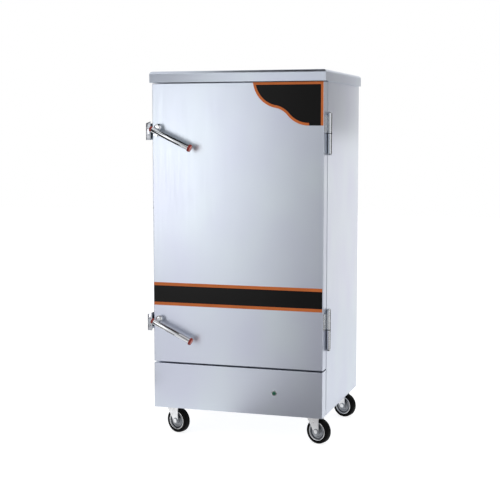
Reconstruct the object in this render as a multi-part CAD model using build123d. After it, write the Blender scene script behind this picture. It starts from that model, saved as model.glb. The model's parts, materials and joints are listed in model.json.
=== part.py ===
from build123d import *
import math
import os

# Electric steaming cabinet on casters, in millimetres.
# While it is built, X runs to the right, Y to the back from the door's face, and Z up from the floor.
# The last step moves everything back or forward, so that the origin is under the middle of its depth.

# Overall sizes
cabinet_width = 700
cabinet_depth = 620
total_height = 1455
skirt_height = 108
sheet = 1.5

# Top cap
cap_height = 44
cap_overhang = 8
cap_rear_overhang = 2
cap_edge_radius = 12
casing_lap = 20
cap_fit_gap = 0.2

# Door and lower front panel
door_thickness = 56
seal_gap = 8
door_top_gap = 3
lower_panel_height = 182
seam_gap = 6
face_edge_radius = 2.5
door_field_margin = 68
door_field_rise = 4
seal_width = 24

# Door trim: a band across the door and a panel in its top right corner
trim_thickness = 1.2
band_bottom = 526
band_height = 67
band_border = 12.5
badge_width = 280
badge_height = 166
badge_side_margin = 2
badge_border = 10

# Casing
return_width = 14
base_thickness = 3
base_rise = 26
frame_bar_side = 44
frame_bar_top = 44
frame_bar_bottom = 45

# Cooking chamber
insulation_thickness = 38.5
chamber_floor_rise = 35
chamber_roof_drop = 40
chamber_back_gap = 44
vent_radius = 14
vent_wall = 1.5
vent_drop = 50
vent_reach = 20
vent_collar_radius = 20

# Tray supports
tray_levels = 10
first_tray_rise = 50
top_tray_space = 114
runner_width = 22
runner_thickness = 4
runner_length = 400
runner_inset = 15
post_thickness = 8
post_width = 20
post_inset = 20

# Water tank, steam baffle and heating elements
tank_width = 560
tank_length = 370
tank_depth = 118
tank_inset = 86
tank_flange = 18
floor_opening_margin = 40
baffle_lap = 20
baffle_thickness = 2
baffle_columns = 6
baffle_rows = 4
baffle_slot_length = 54
baffle_slot_width = 14
element_count = 3
element_pitch = 130
element_radius = 6
element_leg_gap = 44
element_height = 24
element_length = 320
element_plate = 72
element_plate_height = 30
element_plate_thickness = 4
element_stud_radius = 3
element_stud_length = 16
element_hole_gap = 0.3

# Water supply, float valve and drain
supply_inset = 55
supply_drop = 26
supply_radius = 10.5
supply_bore = 7
supply_reach = 20
collar_radius = 17
collar_thickness = 4
valve_block = 24
float_pin_radius = 3
float_pin_head_radius = 4.5
float_pin_head_length = 2
float_arm_radius = 3
float_arm_length = 120
float_radius = 24
float_drop = 20
float_boss_radius = 6
float_boss_width = 8
drain_inset = 100
drain_rise = 16
drain_radius = 13
drain_wall = 2
drain_reach = 50
drain_body_radius = 19
drain_body_length = 30
drain_body_gap = 5
drain_stem_radius = 4
drain_stem_height = 9
lever_length = 62
lever_width = 14
lever_thickness = 4

# Cable entry and electrical parts
gland_inset = 60
gland_rise = 70
gland_radius = 13
gland_bore = 8
gland_reach = 16
gland_inside = 10
gland_flat_count = 6
box_width = 135
box_depth = 70
box_height = 118
box_inset = 50
box_set_back = 8
contactor_size = (45, 50, 80)
terminal_size = (60, 30, 34)
lamp_inset = 194
lamp_rise = 89
lamp_radius = 9
lamp_bezel_radius = 11.5
lamp_bezel_reach = 3
lamp_lens_reach = 6
lamp_depth = 30
bracket_inset = 100
bracket_width = 30
bracket_length = 40
bracket_height = 40
bracket_sheet = 3

# Latches
latch_upper_drop = 173
latch_lower_rise = 175
latch_inset = 30
latch_tilt = 25
latch_drop = 13.5
latch_tube_radius = 11
latch_tube_wall = 1.5
latch_tube_start = -11
latch_tube_length = 168
latch_stand_off = 38
latch_boss_radius = 16
latch_boss_dome = 9
latch_stud_radius = 6
latch_stud_flange = 4
tongue_length = 36
tongue_width = 14
tongue_thickness = 5
cap_flange_radius = 15
cap_length = 10
cap_plug_length = 14

# Strikes
strike_reach = 23
strike_sheet = 3
strike_below = 49
strike_above = 25
strike_slant = 9
strike_side_gap = 1.5
strike_lock_gap = 0.5
strike_set_back = 8
strike_foot_length = 40
lip_screw_pitch = 30

# Hinges
hinge_upper_drop = 196
hinge_lower_rise = 153
hinge_side_offset = 9
knuckle_radius = 8
knuckle_length = 81
knuckle_round = 5
hinge_pin_radius = 5
hinge_pin_length = 95
hinge_pin_seat = 44
hinge_leaf_sheet = 2.3
hinge_leaf_height = 64
hinge_leaf_start = 4
hinge_leaf_margin = 4
hinge_foot_sheet = 3
hinge_foot_width = 29

# Casters
caster_side_inset = 56
caster_front_inset = 52
caster_rear_inset = 110
caster_rest_turn = -20
caster_trail = 35
wheel_radius = 50
tyre_width = 30
tyre_inner_radius = 36
tyre_round = 8
rim_well_radius = 30
rim_width = 26
web_thickness = 9
hub_radius = 13
hub_width = 32
axle_radius = 6
axle_head_radius = 8
axle_head_length = 4
fork_sheet = 3
fork_cheek_gap = 0.5
fork_end_radius = 11
fork_lead = 22
race_height = 8.5
crown_radius = 28
crown_sheet = 3
race_radius = 24
kingpin_radius = 6
kingpin_head_radius = 10
kingpin_head_length = 4
plate_length = 82
plate_width = 66
plate_thickness = 3
plate_hole_length = 66
plate_hole_width = 46
bolt_radius = 4
bolt_head_radius = 6.5
bolt_head_length = 5

# Screws
screw_radius = 2.5
screw_head_radius = 4.5
screw_head_length = 2.5
back_screw_rows = 6
back_screw_edge = 7

# Clearances
part_gap = 0.3
running_gap = 0.05

# Places worked out from the sizes above
half_width = cabinet_width / 2
skirt = skirt_height
cap_bottom = total_height - cap_height
casing_top = cap_bottom + casing_lap
panel_top = skirt + lower_panel_height
door_bottom = panel_top + seam_gap
door_top = cap_bottom - door_top_gap
body_front = door_thickness + seal_gap
back = cabinet_depth
inner_back = back - sheet
base_bottom = skirt + base_rise
base_top = base_bottom + base_thickness
chamber_half = half_width - sheet - insulation_thickness
chamber_floor = panel_top + chamber_floor_rise
chamber_roof = cap_bottom - chamber_roof_drop
chamber_back = back - chamber_back_gap
frame_back = body_front + sheet
cap_front = -cap_overhang
cap_back = back + cap_rear_overhang
tank_front = frame_back + tank_inset
tank_back = tank_front + tank_length
tank_top = chamber_floor - sheet
tank_bottom = tank_top - tank_depth
tank_half = tank_width / 2
tray_pitch = (chamber_roof - chamber_floor - first_tray_rise - top_tray_space) / (tray_levels - 1)
latch_upper_height = door_top - latch_upper_drop
latch_lower_height = door_bottom + latch_lower_rise
hinge_upper_height = door_top - hinge_upper_drop
hinge_lower_height = door_bottom + hinge_lower_rise
hinge_x = half_width + hinge_side_offset
hinge_y = door_thickness + seal_gap / 2
latch_x = -half_width + latch_inset
lamp_side = half_width - lamp_inset
lamp_height = skirt + lamp_rise
bracket_side = half_width - bracket_inset
supply_side = tank_half - supply_inset
drain_side = -tank_half + drain_inset
gland_side = -half_width + gland_inset
box_side = -half_width + box_inset
handle_reach = latch_stand_off + cap_flange_radius
rear_reach = drain_reach
middle_depth = (back + rear_reach - handle_reach) / 2


def span(x, y, z):
    """A block between the low and high values given along each axis."""
    middle = [(low + high) / 2 for low, high in (x, y, z)]
    size = [high - low for low, high in (x, y, z)]
    return Pos(*middle) * Box(*size)


def rod_x(x, y, z, radius):
    return Pos((x[0] + x[1]) / 2, y, z) * Rot(0, 90, 0) * Cylinder(radius, x[1] - x[0])


def rod_y(x, y, z, radius):
    return Pos(x, (y[0] + y[1]) / 2, z) * Rot(90, 0, 0) * Cylinder(radius, y[1] - y[0])


def rod_z(x, y, z, radius):
    return Pos(x, y, (z[0] + z[1]) / 2) * Cylinder(radius, z[1] - z[0])


def edges_at(shape, axis, value):
    """The edges of a shape that lie at one value along an axis."""
    return shape.edges().filter_by_position(axis, value - 0.01, value + 0.01)


# Casing

def top_cap():
    x = (-half_width - cap_overhang, half_width + cap_overhang)
    outer = span(x, (cap_front, cap_back), (cap_bottom, total_height))
    outer = fillet(edges_at(outer, Axis.Z, total_height), cap_edge_radius)
    inner_top = total_height - sheet
    inner = span((x[0] + sheet, x[1] - sheet), (cap_front + sheet, cap_back - sheet), (cap_bottom + sheet, inner_top))
    inner = fillet(edges_at(inner, Axis.Z, inner_top), cap_edge_radius - sheet)
    reach = half_width + cap_fit_gap
    mouth = span((-reach, reach), (body_front - cap_fit_gap, back + cap_fit_gap), (cap_bottom - 1, cap_bottom + sheet + 1))
    return outer - inner - mouth


def side_panel(side):
    """A sheet with returns at its front and back, and a ledge that carries the base.

    The front return stops at the ledge, so that the caster's fork can turn under it.
    """
    outer = side * half_width
    inner = side * (half_width - sheet)
    lip = side * (half_width - return_width)
    low, high = sorted((outer, inner))
    panel = span((low, high), (body_front, back), (skirt, casing_top))
    low, high = sorted((outer, lip))
    panel += span((low, high), (body_front, frame_back), (base_bottom - sheet, cap_bottom))
    panel += span((low, high), (inner_back - sheet, inner_back), (skirt, casing_top))
    panel += span((low, high), (frame_back, inner_back - sheet), (base_bottom - sheet, base_bottom))
    long_edge = [e for e in panel.edges().filter_by(Axis.Z) if abs(e.center().Y - body_front) < 0.01]
    corner = [e for e in long_edge if abs(e.center().X - outer) < 0.01]
    return fillet(corner, sheet / 2)


def back_panel():
    edge = half_width - sheet
    panel = span((-edge, edge), (inner_back, back), (skirt, casing_top))
    panel -= rod_y(0, (inner_back - 1, back + 1), vent_height, vent_radius + part_gap)
    panel -= rod_y(supply_side, (inner_back - 1, back + 1), supply_height, supply_radius + part_gap)
    panel -= rod_y(drain_side, (inner_back - 1, back + 1), drain_height, drain_radius + part_gap)
    panel -= rod_y(gland_side, (inner_back - 1, back + 1), gland_height, gland_bore + part_gap)
    for x, z in back_screw_places():
        panel -= rod_y(x, (inner_back - 1, back + 1), z, screw_radius)
    return panel


def back_screw_places():
    edge = half_width - sheet - back_screw_edge
    step = (cap_bottom - skirt - 4 * back_screw_edge) / (back_screw_rows - 1)
    rows = [skirt + 2 * back_screw_edge + row * step for row in range(back_screw_rows)]
    return [(x, z) for x in (-edge, edge) for z in rows]


def front_frame():
    """The face round the chamber's mouth, flush with the side panels' front returns."""
    edge = half_width - return_width
    frame = span((-edge, edge), (body_front, frame_back), (panel_top, cap_bottom))
    return frame - span(mouth_x, (body_front - 1, frame_back + 1), mouth_z)


def base_pan():
    narrow = half_width - return_width - part_gap
    wide = half_width - sheet
    front = span((-narrow, narrow), (sheet, frame_back + 1), (base_bottom, base_top))
    return front + span((-wide, wide), (frame_back, inner_back - sheet), (base_bottom, base_top))


def lower_front_panel():
    outer = span((-half_width, half_width), (0, door_thickness), (skirt, panel_top))
    edges = [e for e in edges_at(outer, Axis.Y, 0) if e.center().Z > skirt + 1]
    outer = fillet(edges, face_edge_radius)
    inner = half_width - sheet
    panel = outer - span((-inner, inner), (sheet, door_thickness + 1), (skirt - 1, panel_top - sheet))
    return panel - rod_y(lamp_side, (-1, sheet + 1), lamp_height, lamp_radius + part_gap)


def panel_brackets():
    """Two angles on the base that hold the lower front panel's face."""
    angles = []
    for x in (-bracket_side, bracket_side):
        reach = (x - bracket_width / 2, x + bracket_width / 2)
        foot = span(reach, (sheet, sheet + bracket_length), (base_top, base_top + bracket_sheet))
        angles.append(foot + span(reach, (sheet, sheet + bracket_sheet), (base_top, base_top + bracket_height)))
    return angles


def insulation():
    edge = half_width - sheet
    wool = span((-edge, edge), (frame_back, inner_back - sheet), (chamber_floor, casing_top))
    nose = half_width + cap_overhang - cap_edge_radius
    upper = (casing_top, total_height - sheet)
    wool += span((-nose, nose), (cap_front + cap_edge_radius, cap_back - cap_edge_radius), upper)
    wool -= span(*liner_outer)
    return wool - rod_y(0, (chamber_back, back), vent_height, vent_radius + part_gap)


# Cooking chamber

def chamber_liner():
    """Sheets welded into a box that is open at the front, with the steam opening in its floor."""
    wide = (-chamber_half - sheet, chamber_half + sheet)
    deep = (frame_back, chamber_back)
    floor = span(wide, deep, (chamber_floor - sheet, chamber_floor))
    floor -= span(floor_opening_x, floor_opening_y, (tank_top - 1, chamber_floor + 1))
    roof = span(wide, deep, (chamber_roof, chamber_roof + sheet))
    rear = span(wide, (chamber_back, chamber_back + sheet), (chamber_floor - sheet, chamber_roof + sheet))
    rear -= rod_y(0, (chamber_back - 1, chamber_back + sheet + 1), vent_height, vent_radius + part_gap)
    sides = [span(x, deep, (chamber_floor, chamber_roof)) for x in (
        (-chamber_half - sheet, -chamber_half), (chamber_half, chamber_half + sheet))]
    return [floor, roof, rear, *sides]


def tray_uprights():
    posts = []
    for side in (-1, 1):
        low, high = sorted((side * chamber_half, side * (chamber_half - post_thickness)))
        for y in (runner_front + post_inset, runner_front + runner_length - post_inset - post_width):
            posts.append(span((low, high), (y, y + post_width), (chamber_floor, chamber_roof)))
    return posts


def tray_runners():
    outer = chamber_half - post_thickness
    runners = []
    for side in (-1, 1):
        low, high = sorted((side * outer, side * (outer - runner_width)))
        for level in range(tray_levels):
            z = chamber_floor + first_tray_rise + level * tray_pitch
            depth = (runner_front, runner_front + runner_length)
            runners.append(span((low, high), depth, (z, z + runner_thickness)))
    return runners


def steam_baffle():
    """A slotted plate on the chamber floor, over the water."""
    x = (floor_opening_x[0] - baffle_lap, floor_opening_x[1] + baffle_lap)
    y = (floor_opening_y[0] - baffle_lap, floor_opening_y[1] + baffle_lap)
    plate = span(x, y, (chamber_floor, chamber_floor + baffle_thickness))
    step_x = (floor_opening_x[1] - floor_opening_x[0]) / baffle_columns
    step_y = (floor_opening_y[1] - floor_opening_y[0]) / baffle_rows
    slot = extrude(SlotOverall(baffle_slot_length, baffle_slot_width), baffle_thickness * 2, both=True)
    for column in range(baffle_columns):
        for row in range(baffle_rows):
            x_at = floor_opening_x[0] + (column + 0.5) * step_x
            y_at = floor_opening_y[0] + (row + 0.5) * step_y
            plate -= Pos(x_at, y_at, chamber_floor) * slot
    return plate


def water_tank():
    """Sheets welded into an open tank with a flange round its top."""
    inner = tank_half - sheet
    depth = (tank_front + sheet, tank_back - sheet)
    wall_z = (tank_bottom + sheet, tank_top - sheet)
    floor = span((-tank_half, tank_half), (tank_front, tank_back), (tank_bottom, tank_bottom + sheet))
    front = span((-tank_half, tank_half), (tank_front, depth[0]), wall_z)
    for x in element_legs():
        front -= rod_y(x, (tank_front - 1, tank_front + sheet + 1), element_z, element_radius + element_hole_gap)
    rear = span((-tank_half, tank_half), (depth[1], tank_back), wall_z)
    rear -= rod_y(supply_side, (depth[1] - 1, tank_back + 1), supply_height, supply_radius + part_gap)
    rear -= rod_y(drain_side, (depth[1] - 1, tank_back + 1), drain_height, drain_radius + part_gap)
    sides = [span(x, depth, wall_z) for x in ((-tank_half, -inner), (inner, tank_half))]
    reach = tank_half + tank_flange
    lip = (tank_front - tank_flange, tank_back + tank_flange)
    flange = span((-reach, reach), lip, (tank_top - sheet, tank_top))
    flange -= span((-inner, inner), depth, (tank_top - sheet - 1, tank_top + 1))
    return [floor, front, rear, *sides, flange]


def element_centres():
    return [(index - (element_count - 1) / 2) * element_pitch for index in range(element_count)]


def element_legs():
    return [x + side * element_leg_gap / 2 for x in element_centres() for side in (-1, 1)]


def heating_elements():
    """Hairpin tubes on plates that close the tank's front wall."""
    bend = tank_front + element_length
    plate_y = (tank_front - element_plate_thickness, tank_front)
    elements = []
    for x in element_centres():
        leg = element_leg_gap / 2
        path = Line((x - leg, plate_y[0], element_z), (x - leg, bend, element_z))
        path += CenterArc((x, bend, element_z), leg, 180, -180)
        path += Line((x + leg, bend, element_z), (x + leg, plate_y[0], element_z))
        start = Plane((x - leg, plate_y[0], element_z), z_dir=(0, 1, 0))
        tube = sweep(start * Circle(element_radius), path=path)
        plate_x = (x - element_plate / 2, x + element_plate / 2)
        plate_z = (element_z - element_plate_height / 2, element_z + element_plate_height / 2)
        element = tube + span(plate_x, plate_y, plate_z)
        for stud in (x - leg, x + leg):
            reach = (plate_y[0] - element_stud_length, plate_y[0])
            element += rod_y(stud, reach, element_z, element_stud_radius)
        elements.append(element)
    return elements


# Water supply and drain

def water_inlet():
    """A threaded tail through the back panel, with its collar."""
    tail = rod_y(supply_side, (tank_back - sheet, back + supply_reach), supply_height, supply_radius)
    tail += rod_y(supply_side, (back, back + collar_thickness), supply_height, collar_radius)
    return tail - rod_y(supply_side, (tank_back - sheet - 1, back + supply_reach + 1), supply_height, supply_bore)


def float_valve():
    """The block on the tank's rear wall, with the pin that the float's arm turns on."""
    wall = tank_back - sheet
    half = valve_block / 2
    block = span((supply_side - half, supply_side + half), (wall - valve_block, wall), supply_z)
    head_start = supply_side + half + float_boss_width + 2 * part_gap
    head_end = head_start + float_pin_head_length
    pin = rod_x((supply_side + half, head_end), float_pivot_y, supply_height, float_pin_radius)
    head = rod_x((head_start, head_end), float_pivot_y, supply_height, float_pin_head_radius)
    return block + pin + head


def float_arm():
    start = supply_side + valve_block / 2 + part_gap
    arm_x = start + float_boss_width / 2
    boss = rod_x((start, start + float_boss_width), float_pivot_y, supply_height, float_boss_radius)
    ball_y = float_pivot_y - float_arm_length
    ball_z = supply_height - float_drop
    drop = math.degrees(math.atan2(float_drop, float_arm_length))
    length = math.hypot(float_drop, float_arm_length)
    rod = Pos(arm_x, float_pivot_y, supply_height) * Rot(90 + drop, 0, 0)
    arm = boss + rod * Pos(0, 0, length / 2) * Cylinder(float_arm_radius, length)
    arm += Pos(arm_x, ball_y, ball_z) * Sphere(float_radius)
    bore = (start - 1, start + float_boss_width + 1)
    return arm - rod_x(bore, float_pivot_y, supply_height, float_pin_radius + running_gap)


def drain_valve():
    """A pipe from the tank with a ball valve's body behind the back panel."""
    pipe = rod_y(drain_side, (tank_back - sheet, back + drain_reach), drain_height, drain_radius)
    pipe += rod_y(drain_side, drain_body_y, drain_height, drain_body_radius)
    pipe += rod_z(drain_side, drain_stem_y, (drain_height, drain_stem_top), drain_stem_radius)
    bore = (tank_back - sheet - 1, back + drain_reach + 1)
    return pipe - rod_y(drain_side, bore, drain_height, drain_radius - drain_wall)


def drain_lever():
    """A flat lever on the valve's stem, square to the pipe when the valve is shut."""
    low = drain_height + drain_body_radius + part_gap
    blade = span((drain_side - lever_width / 2, drain_side + lever_length - lever_width / 2),
                 (drain_stem_y - lever_width / 2, drain_stem_y + lever_width / 2), (low, low + lever_thickness))
    blade = fillet(blade.edges().filter_by(Axis.Z), lever_width / 2 - 1)
    return blade - rod_z(drain_side, drain_stem_y, (low - 1, low + lever_thickness + 1), drain_stem_radius + running_gap)


def vent_pipe():
    """A pipe from the chamber's back, with a collar that seats on the back panel."""
    length = (chamber_back - sheet, back + vent_reach)
    pipe = rod_y(0, length, vent_height, vent_radius)
    pipe += rod_y(0, (back, back + collar_thickness), vent_height, vent_collar_radius)
    return pipe - rod_y(0, (length[0] - 1, length[1] + 1), vent_height, vent_radius - vent_wall)


# Electrical parts

def cable_gland():
    """A gland with a flat nut on each side of the back panel and a bore for the cable."""
    nut = extrude(RegularPolygon(gland_radius, gland_flat_count), collar_thickness)
    outside = Pos(gland_side, back + collar_thickness, gland_height) * Rot(90, 0, 0) * nut
    inside = Pos(gland_side, inner_back, gland_height) * Rot(90, 0, 0) * nut
    neck = rod_y(gland_side, (inner_back - gland_inside, back + gland_reach), gland_height, gland_bore + sheet)
    neck &= rod_y(gland_side, (back, back + gland_reach), gland_height, gland_bore + sheet)
    sleeve = rod_y(gland_side, (inner_back - gland_inside, back + gland_reach), gland_height, gland_bore)
    whole = outside + inside + neck + sleeve
    bore = (inner_back - gland_inside - 1, back + gland_reach + 1)
    return whole - rod_y(gland_side, bore, gland_height, gland_cable_radius)


def electrical_box():
    tray = span(box_x, box_y, (base_top, base_top + box_height))
    inside = (box_x[0] + sheet, box_x[1] - sheet)
    return tray - span(inside, (box_y[0] - 1, box_y[1] - sheet), (base_top + sheet, base_top + box_height - sheet))


def switchgear():
    """A contactor on the box's back wall and a terminal block on its floor."""
    wall = box_y[1] - sheet
    width, depth, height = contactor_size
    left = box_x[0] + 2 * sheet
    bottom = base_top + 2 * sheet
    contactor = span((left, left + width), (wall - depth, wall), (bottom, bottom + height))
    width, depth, height = terminal_size
    right = box_x[1] - 2 * sheet
    floor = base_top + sheet
    block = span((right - width, right), (wall - depth, wall), (floor, floor + height))
    return [contactor, block]


def indicator_bezel():
    ring = rod_y(lamp_side, (-lamp_bezel_reach, 0), lamp_height, lamp_bezel_radius)
    ring = fillet(edges_at(ring, Axis.Y, -lamp_bezel_reach), lamp_bezel_reach / 2)
    ring += rod_y(lamp_side, (0, lamp_depth), lamp_height, lamp_radius)
    return ring - rod_y(lamp_side, (-lamp_bezel_reach - 1, lamp_depth / 2), lamp_height, lamp_radius - sheet)


def indicator_lens():
    radius = lamp_radius - sheet
    lens = rod_y(lamp_side, (-lamp_lens_reach, lamp_depth / 2), lamp_height, radius)
    return fillet(edges_at(lens, Axis.Y, -lamp_lens_reach), lamp_lens_reach / 2)


# Door

def door_shell():
    outer = span((-half_width, half_width), (0, door_thickness), (door_bottom, door_top))
    outer = fillet(edges_at(outer, Axis.Y, 0), face_edge_radius)
    inner = half_width - sheet
    return outer - span((-inner, inner), (sheet, door_thickness + 1), (door_bottom + sheet, door_top - sheet))


def door_field(inset):
    """The space of the raised field on the door's inner face, drawn in by an inset."""
    reach = half_width - door_field_margin - inset
    height = (mouth_z[0] + seal_width + inset, mouth_z[1] - seal_width - inset)
    return (-reach, reach), height


def door_liner():
    edge = half_width - sheet
    height = (door_bottom + sheet, door_top - sheet)
    liner = span((-edge, edge), (door_thickness - sheet, door_thickness), height)
    field_x, field_z = door_field(0)
    liner += span(field_x, (door_thickness - sheet, door_thickness + door_field_rise), field_z)
    hollow_x, hollow_z = door_field(sheet)
    return liner - span(hollow_x, (door_thickness - sheet - 1, door_thickness + door_field_rise - sheet), hollow_z)


def door_foam():
    edge = half_width - sheet
    foam = span((-edge, edge), (sheet, door_thickness - sheet), (door_bottom + sheet, door_top - sheet))
    field_x, field_z = door_field(sheet)
    return foam + span(field_x, (door_thickness - sheet, door_thickness + door_field_rise - sheet), field_z)


def door_gasket():
    """A soft seal round the chamber's mouth, just clear of the front frame."""
    depth = (door_thickness, body_front - part_gap)
    outer_x = (mouth_x[0] - seal_width / 2, mouth_x[1] + seal_width / 2)
    outer_z = (mouth_z[0] - seal_width / 2, mouth_z[1] + seal_width / 2)
    inner_x = (outer_x[0] + seal_width, outer_x[1] - seal_width)
    inner_z = (outer_z[0] + seal_width, outer_z[1] - seal_width)
    return span(outer_x, depth, outer_z) - span(inner_x, (depth[0] - 1, depth[1] + 1), inner_z)


def stripe_band():
    height = (band_bottom + band_border, band_bottom + band_border + band_height)
    return span((-band_half, band_half), (-trim_thickness, 0), height)


def stripe_trim():
    upper = band_bottom + band_border + band_height
    strips = [(band_bottom, band_bottom + band_border), (upper, upper + band_border)]
    return [span((-band_half, band_half), (-trim_thickness, 0), strip) for strip in strips]


def badge_point(across, down):
    """A point of the corner panel, by its share of the width from the left and of the height from the top."""
    left = half_width - badge_side_margin - badge_width
    return (left + across * badge_width, door_top - down * badge_height)


def badge_outline():
    """The corner panel: straight along the top and right, with a double wave at its lower left."""
    start, first, second, end = [badge_point(*share) for share in ((0, 0), (0.3, 0.585), (0.495, 0.765), (0.8, 1))]
    middles = [badge_point(*share) for share in ((0.098, 0.375), (0.405, 0.64), (0.62, 0.93))]
    wave = ThreePointArc(start, middles[0], first)
    wave += ThreePointArc(first, middles[1], second)
    wave += ThreePointArc(second, middles[2], end)
    corner = badge_point(1, 1)
    top = badge_point(1, 0)
    return make_face(wave + Line(end, corner) + Line(corner, top) + Line(top, start))


def badge_core():
    """The dark field inside the coloured border, which the border leaves open along the bottom."""
    core = offset(badge_outline(), -badge_border, kind=Kind.INTERSECTION)
    start = badge_point(0.8, 1)
    end = badge_point(1, 1)[0] - badge_border
    return core + Pos((start[0] + end) / 2, start[1] + badge_border) * Rectangle(end - start[0], 2 * badge_border)


def raise_trim(face):
    """Stands a drawing up on the door's face, with its Y as height."""
    return Rot(90, 0, 0) * extrude(face, trim_thickness)


def badge_panel():
    return raise_trim(badge_core())


def badge_trim():
    return raise_trim(badge_outline() - badge_core())


# Hinges

def hinge_door_leaves():
    """The upper knuckles, with the leaves on the door's side."""
    leaves = []
    for middle in (hinge_lower_height, hinge_upper_height):
        low = middle + part_gap
        knuckle = rod_z(hinge_x, hinge_y, (low, middle + knuckle_length), knuckle_radius)
        knuckle = fillet(edges_at(knuckle, Axis.Z, middle + knuckle_length), knuckle_round)
        height = (middle + hinge_leaf_margin, middle + hinge_leaf_margin + hinge_leaf_height)
        knuckle += span((half_width, half_width + hinge_leaf_sheet), (hinge_leaf_start, hinge_y), height)
        top = middle + hinge_pin_length - hinge_pin_seat + part_gap
        knuckle -= rod_z(hinge_x, hinge_y, (low - 1, top), hinge_pin_radius + running_gap)
        leaves.append(knuckle)
    return leaves


def hinge_body_leaves():
    """The lower knuckles, with feet in the gap behind the door, on the side panel's return."""
    leaves = []
    for middle in (hinge_lower_height, hinge_upper_height):
        bottom = middle - knuckle_length
        knuckle = rod_z(hinge_x, hinge_y, (bottom, middle), knuckle_radius)
        knuckle = fillet(edges_at(knuckle, Axis.Z, bottom), knuckle_round)
        foot_x = (hinge_x - hinge_foot_width, hinge_x)
        height = (bottom + knuckle_round, middle - knuckle_round)
        knuckle += span(foot_x, (body_front - hinge_foot_sheet, body_front), height)
        leaves.append(knuckle - rod_z(hinge_x, hinge_y, (middle - hinge_pin_seat, middle + 1), hinge_pin_radius))
    return leaves


def hinge_pins():
    pins = []
    for middle in (hinge_lower_height, hinge_upper_height):
        low = middle - hinge_pin_seat
        pins.append(rod_z(hinge_x, hinge_y, (low, low + hinge_pin_length), hinge_pin_radius))
    return pins


# Latches

def at_latch(height):
    """Places a piece that is drawn round the latch's pivot, with its handle along X."""
    return Pos(latch_x, 0, height) * Rot(0, latch_tilt, 0)


def latch_studs():
    """The fixed flanges and pins on the door that the handles turn on."""
    flange = rod_y(0, (-latch_stud_flange, 0), 0, latch_boss_radius)
    pin = rod_y(0, (-hub_front + sheet, 0), 0, latch_stud_radius)
    return [at_latch(height) * (flange + pin) for height in (latch_lower_height, latch_upper_height)]


def latch_hub(height):
    """The domed boss, the tongue that goes behind the strike, and the saddle under the handle."""
    base = latch_stud_flange + part_gap
    dome = rod_y(0, (-hub_front, -base), 0, latch_boss_radius)
    dome = fillet(edges_at(dome, Axis.Y, -hub_front), latch_boss_dome)
    half = tongue_width / 2
    tongue = span((-half, half), (-base - tongue_thickness, -base), (-tongue_length, 0))
    saddle = span((-half, half), (-latch_stand_off, -base), (-latch_drop - half / 2, -latch_drop + half))
    hub = dome + tongue + saddle
    hub -= rod_x((-2 * half, 2 * half), -latch_stand_off, -latch_drop, latch_tube_radius)
    hub -= rod_y(0, (-hub_front + sheet - part_gap, 0), 0, latch_stud_radius + running_gap)
    return at_latch(height) * hub


def latch_tube(height):
    reach = (latch_tube_start, latch_tube_start + latch_tube_length)
    tube = rod_x(reach, -latch_stand_off, -latch_drop, latch_tube_radius)
    tube -= rod_x((reach[0] - 1, reach[1] + 1), -latch_stand_off, -latch_drop, latch_tube_radius - latch_tube_wall)
    return at_latch(height) * tube


def latch_caps(height):
    """A plain plug at the strike's end of the handle and a flanged one at its free end."""
    start = latch_tube_start
    end = latch_tube_start + latch_tube_length
    bore = latch_tube_radius - latch_tube_wall
    inner = rod_x((start - cap_length, start), -latch_stand_off, -latch_drop, latch_tube_radius)
    inner = fillet(edges_at(inner, Axis.X, start - cap_length), cap_length / 3)
    inner += rod_x((start, start + cap_plug_length), -latch_stand_off, -latch_drop, bore)
    outer = rod_x((end, end + cap_length), -latch_stand_off, -latch_drop, cap_flange_radius)
    outer = fillet(outer.edges().filter_by(GeomType.CIRCLE), cap_length / 3)
    outer += rod_x((end - cap_plug_length, end), -latch_stand_off, -latch_drop, bore)
    return [at_latch(height) * inner, at_latch(height) * outer]


def strikes():
    """Hooks from the left side panel that reach round the door's edge to a lip in front of it."""
    outer = -half_width - strike_reach
    inner = -half_width - strike_side_gap
    root = body_front + strike_set_back
    hooks = []
    for pivot in (latch_lower_height, latch_upper_height):
        low = pivot - strike_below
        height = (low, pivot + strike_above)
        hook = span((outer, inner), (lip_back - strike_sheet, lip_back), height)
        hook += span((outer, outer + strike_sheet), (lip_back - strike_sheet, root), height)
        hook += span((outer, -half_width), (root - strike_sheet, root), height)
        hook += span((-half_width - strike_sheet, -half_width), (root - strike_sheet, root + strike_foot_length), height)
        slant = Plane.XZ * Polygon((outer - 1, height[1] + 1), (outer - 1, height[1] - strike_slant),
                                   (-half_width, height[1]), (-half_width, height[1] + 1), align=None)
        hook -= extrude(slant, back, both=True)
        for z in lip_screw_heights():
            hook -= rod_y(lip_x, (lip_back - strike_sheet - 1, lip_back + 1), z, screw_radius)
        hooks.append(hook)
    return hooks


def lip_screw_heights():
    pivots = (latch_lower_height, latch_upper_height)
    return [z for pivot in pivots for z in (pivot, pivot - lip_screw_pitch)]


# Casters

def caster_places():
    """Each caster's name and where its swivel axis stands."""
    side = half_width - caster_side_inset
    rows = (("front", caster_front_inset), ("rear", back - caster_rear_inset))
    return [(f"{row}_{name}", x, y) for row, y in rows for name, x in (("left", -side), ("right", side))]


def at_caster(x, y):
    """Places a piece that is drawn round the swivel axis, with its wheel trailing along X."""
    return Pos(x, y, 0) * Rot(0, 0, caster_rest_turn)


def caster_plates():
    """The fixed plates under the base, each with its kingpin."""
    low = base_bottom - plate_thickness
    plate = span((-plate_length / 2, plate_length / 2), (-plate_width / 2, plate_width / 2), (low, base_bottom))
    for x, y in bolt_places():
        plate -= rod_z(x, y, (low - 1, base_bottom + 1), bolt_radius)
    head_top = crown_bottom - part_gap
    plate += rod_z(0, 0, (head_top - kingpin_head_length, low), kingpin_radius)
    plate += rod_z(0, 0, (head_top - kingpin_head_length, head_top), kingpin_head_radius)
    return [Pos(x, y, 0) * plate for name, x, y in caster_places()]


def bolt_places():
    return [(x * plate_hole_length / 2, y * plate_hole_width / 2) for x in (-1, 1) for y in (-1, 1)]


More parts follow.
